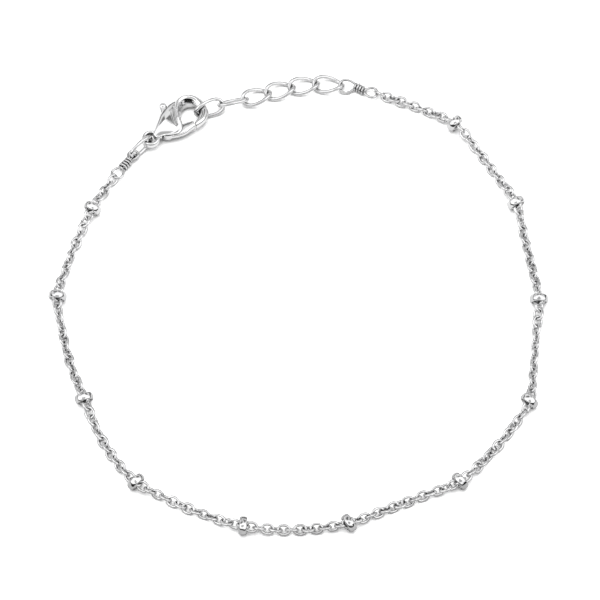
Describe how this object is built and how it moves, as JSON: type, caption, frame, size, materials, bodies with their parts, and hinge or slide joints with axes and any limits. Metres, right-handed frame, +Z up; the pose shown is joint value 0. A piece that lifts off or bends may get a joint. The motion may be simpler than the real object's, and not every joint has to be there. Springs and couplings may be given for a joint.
{
  "type": "chain bracelet",
  "caption": "Fine cable chain bracelet with rondelle beads, wire-wrapped ends, a short link extender and a lobster clasp with a sprung lever.",
  "frame": {"origin": "centre of the bounding box, on the surface that the bracelet lies on", "axes": "+Z up from the surface; the clasp and the extender are on the +Y side of the loop, with the clasp towards -X"},
  "size_m": [0.0658, 0.0686, 0.0026],
  "materials": {
    "chain_silver": "polished silver",
    "link_silver": "polished silver",
    "wire_silver": "polished silver wire",
    "clasp_silver": "polished cast silver"
  },
  "bodies": {
    "bracelet": {"clasp_body": "clasp_silver", "tail_link": "link_silver", "extender_link_1": "link_silver", "extender_link_2": "link_silver", "extender_link_3": "link_silver", "extender_link_4": "link_silver", "extender_link_5": "link_silver", "extender_link_6": "link_silver", "wrapped_end_left": "wire_silver", "wrapped_end_right": "wire_silver", "chain_stretch_01": "chain_silver", "chain_stretch_02": "chain_silver", "chain_stretch_03": "chain_silver", "chain_stretch_04": "chain_silver", "chain_stretch_05": "chain_silver", "chain_stretch_06": "chain_silver", "chain_stretch_07": "chain_silver", "chain_stretch_08": "chain_silver", "chain_stretch_09": "chain_silver", "chain_stretch_10": "chain_silver", "chain_stretch_11": "chain_silver", "chain_stretch_12": "chain_silver"},
    "lever": {"clasp_lever": "clasp_silver"}
  },
  "joints": [
    {"name": "lever_pivot", "type": "hinge", "parent": "bracelet", "child": "lever", "pos_m": [-0.01762, 0.02509, 0.0013], "axis": [0, 0, 1], "range_deg": [0, 20], "stiffness_Nm_per_rad": 0.01}
  ]
}
